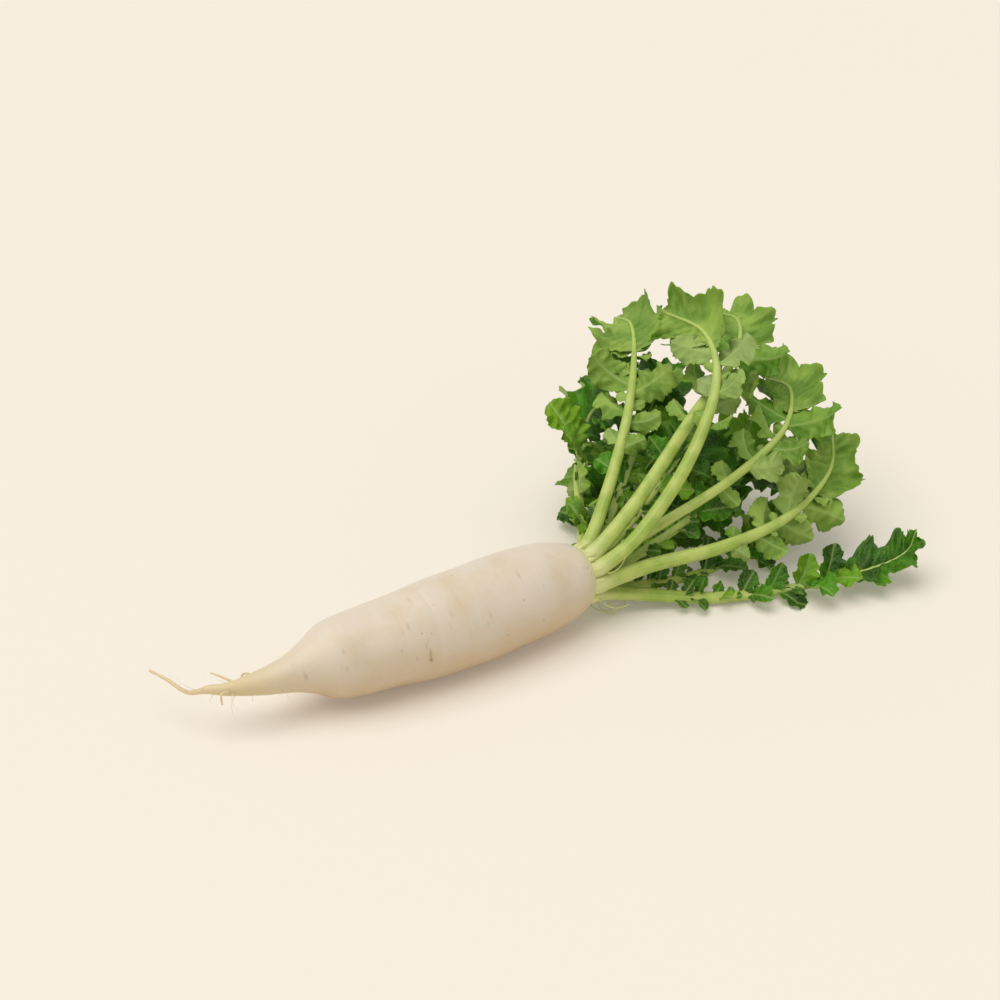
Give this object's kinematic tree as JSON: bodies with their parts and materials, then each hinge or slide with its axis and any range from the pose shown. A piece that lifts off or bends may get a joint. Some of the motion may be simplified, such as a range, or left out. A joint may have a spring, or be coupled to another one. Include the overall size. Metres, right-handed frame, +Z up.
{
  "type": "daikon radish",
  "caption": "Long white radish lying on its side, with a tapering tail and a full head of feathered green leaves.",
  "frame": {"origin": "middle of the small flat under the root's belly, where it rests on the table", "axes": "+Z up from the table, +X along the root towards its crown and leaves, +Y to the left of +X"},
  "size_m": [0.6058, 0.3154, 0.2045],
  "materials": {
    "root_skin": "satin, moist and faintly ringed",
    "leaf": "soft, slightly hairy leaf with a waxy sheen"
  },
  "bodies": {
    "root": {"taproot": "root_skin", "leaf_front_low": "leaf", "leaf_front": "leaf", "leaf_crest": "leaf", "leaf_top_front": "leaf", "leaf_top_back": "leaf", "leaf_back": "leaf", "leaf_ground_back": "leaf", "leaf_ground_far": "leaf", "leaf_ground_middle": "leaf", "leaf_middle": "leaf", "leaf_high": "leaf", "leaf_middle_back": "leaf", "leaf_inner_back": "leaf", "leaf_ground_inner": "leaf", "leaf_heart": "leaf"}
  },
  "joints": []
}
